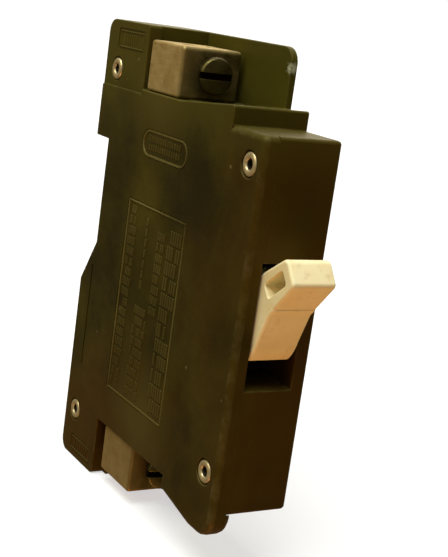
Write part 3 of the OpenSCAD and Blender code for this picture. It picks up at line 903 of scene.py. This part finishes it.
# The pivot's Y and Z in the drawing, and the way that the handle points from it
TOGGLE_PIVOT = (12.0, 55.2)
HANDLE_ANGLE = math.radians(142)
TIE_SLOT = ((18.0, 28.7), (-2.9, 3.0))
TOGGLE_ROUND, TOGGLE_BREAK = 0.85, 0.3


def in_tie_slot(point):
    """True at the slot through the handle, given as reach along the handle and height across it."""
    y, z = drawing(point).yz - Vector(TOGGLE_PIVOT)
    reach = y * math.cos(HANDLE_ANGLE) + z * math.sin(HANDLE_ANGLE)
    across = y * math.sin(HANDLE_ANGLE) - z * math.cos(HANDLE_ANGLE)
    (r0, r1), (c0, c1) = TIE_SLOT
    return r0 < reach < r1 and c0 < across < c1


def toggle_edge(edge):
    """The handle's sides are well rounded; the slot's rim and the ends are only broken."""
    a, b = (v.co for v in edge.verts)
    low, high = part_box("toggle")
    near, far = low.x + TOUCH * MM, high.x - TOUCH * MM
    on_side = max(a.x, b.x) < near or min(a.x, b.x) > far
    return TOGGLE_ROUND if on_side and not in_tie_slot(a) else TOGGLE_BREAK


moulded("toggle", "toggle_handle", "toggle", CREAM, toggle_edge, 3)


# ------------------------------------------------------------------ main spring

def middle_of(node):
    """The middle of a CAD node's box."""
    low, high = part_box(node)
    return (low + high) / 2


SPRING_WIRE = 0.32 * MM
SPRING_RADIUS = 1.9 * MM
SPRING_TURNS = 15
SPRING_TURN_STEPS = 20
WIRE_SIDES = 8
HOOK_RADIUS = 1.36 * MM
HOOK_REACH = 1.6 * MM
HOOK_SWEEP = math.radians(100)
HOOK_STEPS = 10


def swept_wire(work, points, radius):
    """A round wire along a list of points, with flat ends."""
    rings, normal = [], None
    for i, point in enumerate(points):
        tangent = (points[min(i + 1, len(points) - 1)] - points[max(i - 1, 0)]).normalized()
        normal = tangent.orthogonal() if normal is None else normal - tangent * normal.dot(tangent)
        normal.normalize()
        other = tangent.cross(normal)
        rings.append([work.verts.new(p) for p in circle(point, normal, other, radius, WIRE_SIDES)])
    for here, there in zip(rings, rings[1:]):
        join_rings(work, here, there)
    work.faces.new(rings[0])
    work.faces.new(rings[-1])


def make_main_spring():
    """The over-centre spring, wound between the toggle's pin and the arm's pin."""
    start, end = middle_of("toggle_spring_pin"), middle_of("arm_spring_pin")
    along = (end - start).normalized()
    across = Vector((1, 0, 0))
    aside = along.cross(across)
    hook = [(-math.cos(a), math.sin(a)) for a in (
        HOOK_SWEEP * (2 * i / HOOK_STEPS - 1) for i in range(HOOK_STEPS + 1))]
    points = [start + HOOK_RADIUS * (u * along + v * aside) for u, v in hook]
    count = SPRING_TURNS * SPRING_TURN_STEPS
    for i in range(count + 1):
        turn = 2 * math.pi * i / SPRING_TURN_STEPS
        middle = (start + HOOK_REACH * along).lerp(end - HOOK_REACH * along, i / count)
        points.append(middle + SPRING_RADIUS * (math.cos(turn) * aside + math.sin(turn) * across))
    points += [end + HOOK_RADIUS * (-u * along + v * aside) for u, v in hook[::-1]]
    work = bmesh.new()
    swept_wire(work, points, SPRING_WIRE)
    spring = finish_mesh(work, "over_centre_spring", STEEL)
    spring.data.shade_smooth()
    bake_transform(spring)
    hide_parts("main_spring")


make_main_spring()


# ------------------------------------------------------------------ lugs and screws

LUG_ROUND, LUG_BREAK = 0.9, 0.35


def lug_edge(edge):
    """The edges towards the cover are drawn round, as extruded bar is; the rest is broken."""
    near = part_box("line_lug")[0].x + TOUCH * MM
    a, b = (v.co for v in edge.verts)
    return LUG_ROUND if max(a.x, b.x) < near else LUG_BREAK


# Screw sizes in millimetres
SCREW_PITCH = 25.4 / 24
SCREW_RADIUS = 3.88
THREAD_DEPTH = 0.5
THREAD_SEGMENTS = 32
THREAD_STEPS = 4
TIP_BORE = 1.6
TIP_BORE_DEPTH = 1.9
HEAD_RADIUS = 5.7
HEAD_THICK = 2.7
HEAD_SEGMENTS = 56
HEAD_BREAK = 0.25
RIM_RADIUS = 1.15
RIM_TURN = -62
DOME_STEPS = 6
SLOT_WIDTH = 2.0
SLOT_DEPTH = 1.6
SLOT_BREAK = 0.14
SLOT_REACH = 20
SLOT_WELD = 0.003 * MM
SHANK_OVERLAP = 0.05


def threaded(work, centre, start_y, end_y):
    """A right-handed threaded shank along +Y, from start_y to end_y in metres, bored at its tip."""
    turns = (end_y - start_y) / (SCREW_PITCH * MM)
    rows = []
    count = int(turns * THREAD_STEPS) + 1
    for i in range(count + 1):
        y = min(start_y + i * SCREW_PITCH * MM / THREAD_STEPS, end_y)
        ring = []
        for k in range(THREAD_SEGMENTS):
            angle = 2 * math.pi * k / THREAD_SEGMENTS
            phase = ((y - start_y) / (SCREW_PITCH * MM) - k / THREAD_SEGMENTS) % 1.0
            radius = (SCREW_RADIUS - THREAD_DEPTH * (1 - abs(2 * phase - 1))) * MM
            ring.append(work.verts.new(Vector((
                centre.x + radius * math.cos(angle), y, centre.z + radius * math.sin(angle)))))
        rows.append(ring)
    for low, high in zip(rows, rows[1:]):
        join_rings(work, low, high)
    work.faces.new(rows[0])
    tip = Vector((centre.x, end_y, centre.z))
    across, up = Vector((1, 0, 0)), Vector((0, 0, 1))
    inner = [work.verts.new(p) for p in circle(tip, across, up, TIP_BORE * MM, THREAD_SEGMENTS)]
    floor = [work.verts.new(v.co - Vector((0, TIP_BORE_DEPTH * MM, 0))) for v in inner]
    join_rings(work, rows[-1], inner)
    join_rings(work, inner, floor)
    work.faces.new(floor)


def head_profile():
    """(radius, height) from the head's back to the top of its dome, in millimetres."""
    profile = [(0.0, 0.0), (HEAD_RADIUS - HEAD_BREAK, 0.0), (HEAD_RADIUS, -HEAD_BREAK)]
    profile += arc((HEAD_RADIUS - RIM_RADIUS, -RIM_RADIUS), RIM_RADIUS, 0, RIM_TURN, DOME_STEPS)
    rim_r, rim_h = profile[-1]
    for i in range(1, DOME_STEPS + 1):
        t = i / DOME_STEPS
        profile.append((rim_r * (1 - t), rim_h - (HEAD_THICK + rim_h) * (1 - (1 - t) ** 2)))
    return profile


def slotted_head(node, front, head_back):
    """The head's mesh, with the slot cut across it; front is the middle of the dome's top."""
    work = bmesh.new()
    profile = [(r * MM, h * MM) for r, h in head_profile()]
    lathe(work, profile, Vector((front.x, head_back, front.z)), (0, 1, 0), HEAD_SEGMENTS)
    head = finish_mesh(work, node + "_blank_head", DARK_SCREW)
    work = bmesh.new()
    bmesh.ops.create_cube(work, size=1.0)
    for vert in work.verts:
        vert.co = front + Vector((
            vert.co.x * SLOT_REACH * MM,
            (vert.co.y * 2) * SLOT_DEPTH * MM,
            vert.co.z * SLOT_WIDTH * MM))
    cutter = finish_mesh(work, node + "_slot_cutter", DARK_SCREW)
    cut = head.modifiers.new("slot", "BOOLEAN")
    cut.operation = "DIFFERENCE"
    cut.solver = "EXACT"
    cut.object = cutter
    mesh = applied(head)
    bpy.data.objects.remove(cutter)
    work = bmesh.new()
    work.from_mesh(mesh)
    bmesh.ops.remove_doubles(work, verts=work.verts, dist=SLOT_WELD)
    return work


def make_screw(node, body):
    """Domed, slotted head and a threaded shank."""
    low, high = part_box(node)
    front = Vector(((low.x + high.x) / 2, low.y, (low.z + high.z) / 2))
    head_back = low.y + HEAD_THICK * MM
    half_slot = (SLOT_WIDTH / 2 + 2 * TOUCH) * MM

    def slot_edge(edge):
        return SLOT_BREAK if all(abs(v.co.z - front.z) < half_slot for v in edge.verts) else 0.0

    def in_slot(point, normal):
        return abs(point.z - front.z) < half_slot and normal.y < 0.5

    work = slotted_head(node, front, head_back)
    head = rounded(work, node + "_head", DARK_SCREW, slot_edge, 2)
    mark_inside(head, in_slot)
    smooth_shade(head, math.radians(40))
    work = bmesh.new()
    threaded(work, front, head_back - SHANK_OVERLAP * MM, high.y)
    thread = finish_mesh(work, node + "_thread", DARK_SCREW)
    smooth_shade(thread, math.radians(60))
    for part in (head, thread):
        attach(part, body)
        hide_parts(node)


moulded("line_lug", "line_lug_block", "case", TINNED, lug_edge, 3)
moulded("load_lug", "load_lug_block", "case", TINNED, lug_edge, 3)
make_screw("line_lug_screw", "line_screw")
make_screw("load_lug_screw", "load_screw")


# ------------------------------------------------------------------ studio

WORLD_TONE, WORLD_STRENGTH = (1.0, 0.80, 0.44, 1), 0.22


def area_light(name, location, size, power, colour, target):
    """A rectangular lamp, turned towards a target."""
    light = bpy.data.lights.new(name, "AREA")
    light.shape = "RECTANGLE"
    light.size, light.size_y = size
    light.energy = power
    light.color = colour
    lamp = bpy.data.objects.new(name, light)
    bpy.context.scene.collection.objects.link(lamp)
    lamp.location = location
    lamp.rotation_mode = "QUATERNION"
    lamp.rotation_quaternion = (Vector(target) - Vector(location)).to_track_quat("-Z", "Y")


def sun_light(name, direction, power, colour, spread):
    """A sun that shines along a direction; spread, in degrees, softens its shadow."""
    light = bpy.data.lights.new(name, "SUN")
    light.energy = power
    light.color = colour
    light.angle = math.radians(spread)
    lamp = bpy.data.objects.new(name, light)
    bpy.context.scene.collection.objects.link(lamp)
    lamp.rotation_mode = "QUATERNION"
    lamp.rotation_quaternion = Vector(direction).to_track_quat("-Z", "Y")


def make_floor(centre, floor_z):
    """A round floor that bends up into a wall all round, in metres."""
    mesh = bpy.data.meshes.new("studio_floor")
    work = bmesh.new()
    flat, bend, rise, steps = 1.6, 0.8, 2.5, 16
    profile = [(0.0, 0.0), (flat, 0.0)]
    profile += [(flat + math.sin(a) * bend, bend - math.cos(a) * bend)
                for a in (i * math.pi / 2 / steps for i in range(1, steps + 1))]
    profile += [(flat + bend, rise)]
    lathe(work, profile, Vector((centre.x, centre.y, floor_z)), (0, 0, 1), 96)
    bmesh.ops.recalc_face_normals(work, faces=work.faces)
    bmesh.ops.reverse_faces(work, faces=work.faces)
    work.to_mesh(mesh)
    work.free()
    floor = link_object("studio_floor", mesh, studio_floor())
    mesh.shade_smooth()
    # the bright floor doesn't light the dark case or show in its gloss
    floor.visible_diffuse = False
    floor.visible_glossy = False
    floor.visible_shadow = False


def make_studio():
    """Pale floor, soft warm light from above and the left, and a dim warm room."""
    centre = (cad_box[0] + cad_box[1]) / 2
    make_floor(centre, cad_box[0].z)
    world = bpy.data.worlds.new("studio")
    world.use_nodes = True
    background = world.node_tree.nodes["Background"]
    background.inputs["Color"].default_value = WORLD_TONE
    background.inputs["Strength"].default_value = WORLD_STRENGTH
    bpy.context.scene.world = world
    bpy.context.scene.view_settings.view_transform = "Standard"
    sun_light("top", (0.27, 0.10, -0.95), 3.4, (1.0, 1.0, 0.90), 45)
    sun_light("far_fill", (-0.66, -0.62, -0.42), 1.3, (1.0, 0.92, 0.72), 60)
    key = centre + Vector((-0.70, 0.02, 0.60))
    area_light("key", key, (0.5, 0.5), 2.1, (1.0, 0.90, 0.42), centre)
    low_warm = centre + Vector((-0.12, -0.28, -0.62))
    area_light("low_warm", low_warm, (0.4, 0.3), 2.3, (1.0, 0.43, 0.13), centre)


make_studio()
